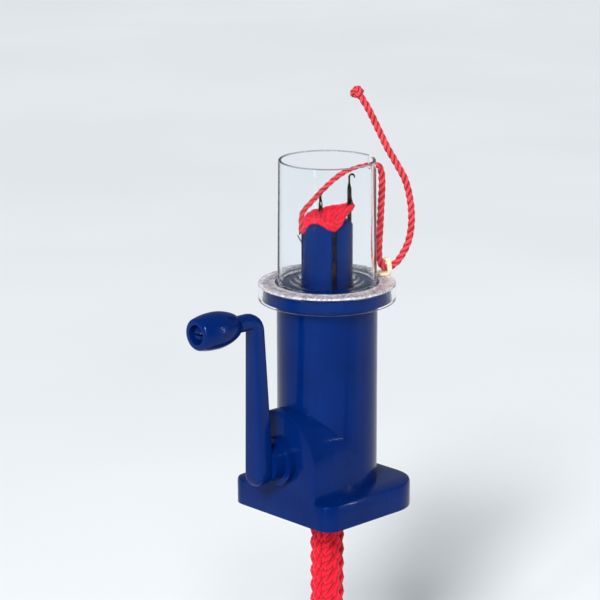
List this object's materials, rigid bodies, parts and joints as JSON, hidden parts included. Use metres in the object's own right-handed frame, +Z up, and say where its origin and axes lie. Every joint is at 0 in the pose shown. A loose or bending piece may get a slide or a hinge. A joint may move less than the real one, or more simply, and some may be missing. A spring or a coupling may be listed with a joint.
{
  "type": "knitting machine",
  "caption": "Hand-cranked cord knitting mill: upright housing on a square base, crank with barrel grip, needle cylinder with latch needles under a clear guard, yarn guide and knitted cord.",
  "frame": {"origin": "middle of the base's underside, where the knitted cord leaves it", "axes": "+Z up along the column, -X towards the crank"},
  "size_m": [0.1154, 0.0636, 0.2984],
  "materials": {
    "navy_plastic": "glossy moulded",
    "inner_plastic": "moulded acetal",
    "clear_plastic": "clear polished",
    "guide_plastic": "cream translucent",
    "steel": "machined",
    "needle_steel": "dark polished",
    "red_yarn": "plied yarn",
    "red_knit": "knitted yarn"
  },
  "bodies": {
    "housing": {"main_housing": "navy_plastic", "bottom_cover": "navy_plastic", "cover_screw_1": "steel", "cover_screw_2": "steel", "cover_screw_3": "steel", "cover_screw_4": "steel", "cord_tube": "inner_plastic", "lower_cam": "inner_plastic", "upper_cam": "navy_plastic", "clear_guard": "clear_plastic", "yarn_guide": "guide_plastic", "shaft_bush": "inner_plastic", "yarn": "red_yarn"},
    "crank": {"crank_arm": "navy_plastic", "crank_shaft": "steel", "drive_gear": "inner_plastic", "gear_washer": "steel", "gear_screw": "steel"},
    "grip": {"grip": "navy_plastic"},
    "rotor": {"needle_cylinder": "navy_plastic", "crown_gear": "inner_plastic", "knit_top": "red_knit", "inner_cord": "red_knit", "knitted_cord": "red_knit", "yarn_strand": "red_yarn"},
    "needle_1": {"needle_1": "needle_steel", "latch_pin_1": "needle_steel"},
    "latch_1": {"latch_1": "needle_steel"},
    "needle_2": {"needle_2": "needle_steel", "latch_pin_2": "needle_steel"},
    "latch_2": {"latch_2": "needle_steel"},
    "needle_3": {"needle_3": "needle_steel", "latch_pin_3": "needle_steel"},
    "latch_3": {"latch_3": "needle_steel"},
    "needle_4": {"needle_4": "needle_steel", "latch_pin_4": "needle_steel"},
    "latch_4": {"latch_4": "needle_steel"}
  },
  "joints": [
    {"name": "crank_spin", "type": "hinge", "parent": "housing", "child": "crank", "pos_m": [-0.03, 0, 0.027], "axis": [1, 0, 0], "continuous": true},
    {"name": "rotor_spin", "type": "hinge", "parent": "housing", "child": "rotor", "pos_m": [0, 0, 0.06], "axis": [0, 0, 1], "continuous": true, "deforming": ["yarn_strand"]},
    {"name": "grip_spin", "type": "hinge", "parent": "crank", "child": "grip", "pos_m": [-0.068, 0, 0.0942], "axis": [1, 0, 0], "continuous": true},
    {"name": "needle_1_lift", "type": "slide", "parent": "rotor", "child": "needle_1", "axis": [0, 0, 1], "range_m": [-0.00032, 0.02468]},
    {"name": "latch_1_swing", "type": "hinge", "parent": "needle_1", "child": "latch_1", "pos_m": [-0.00914, 0.00486, 0.11982], "axis": [-0.4695, -0.8829, 0], "range_deg": [0, 135.5]},
    {"name": "needle_2_lift", "type": "slide", "parent": "rotor", "child": "needle_2", "axis": [0, 0, 1], "range_m": [-0.00122, 0.02378]},
    {"name": "latch_2_swing", "type": "hinge", "parent": "needle_2", "child": "latch_2", "pos_m": [-0.00486, -0.00914, 0.12072], "axis": [0.8829, -0.4695, 0], "range_deg": [0, 135.5]},
    {"name": "needle_3_lift", "type": "slide", "parent": "rotor", "child": "needle_3", "axis": [0, 0, 1], "range_m": [-0.02428, 0.00072]},
    {"name": "latch_3_swing", "type": "hinge", "parent": "needle_3", "child": "latch_3", "pos_m": [0.00914, -0.00486, 0.14378], "axis": [0.4695, 0.8829, 0], "range_deg": [-135.5, 0]},
    {"name": "needle_4_lift", "type": "slide", "parent": "rotor", "child": "needle_4", "axis": [0, 0, 1], "range_m": [-0.01531, 0.00969]},
    {"name": "latch_4_swing", "type": "hinge", "parent": "needle_4", "child": "latch_4", "pos_m": [0.00486, 0.00914, 0.13481], "axis": [-0.8829, 0.4695, 0], "range_deg": [0, 135.5]}
  ],
  "couplings": [
    {"joint": "rotor_spin", "follows": "crank_spin", "ratio": 1}
  ]
}
